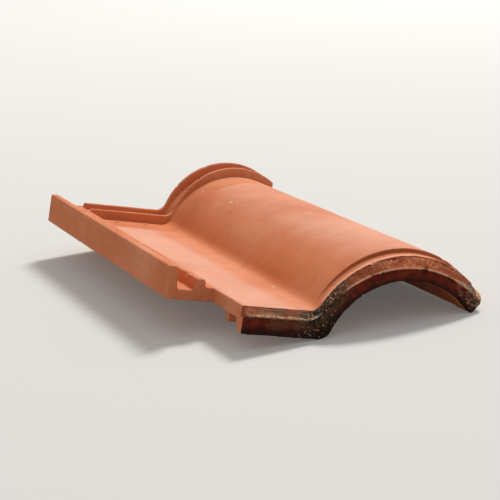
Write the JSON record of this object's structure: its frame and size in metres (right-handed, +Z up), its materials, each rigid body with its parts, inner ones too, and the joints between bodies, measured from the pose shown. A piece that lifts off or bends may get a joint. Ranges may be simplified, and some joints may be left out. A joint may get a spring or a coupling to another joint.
{
  "type": "clay roof tile",
  "caption": "Pressed clay roof tile with a flat pan, a tapering round barrel, a stepped front edge, an interlocking side edge, weather ribs and a hanging nib.",
  "frame": {"origin": "centre of the tile's footprint on the floor, as the tile rests alone", "axes": "+Y from the tail, which has the stepped front edge, to the head, +X from the side lock to the free edge of the barrel, +Z up from the floor"},
  "size_m": [0.2592, 0.435, 0.0716],
  "materials": {
    "terracotta": "matte unglazed terracotta"
  },
  "bodies": {
    "root": {"tile": "terracotta"}
  },
  "joints": []
}
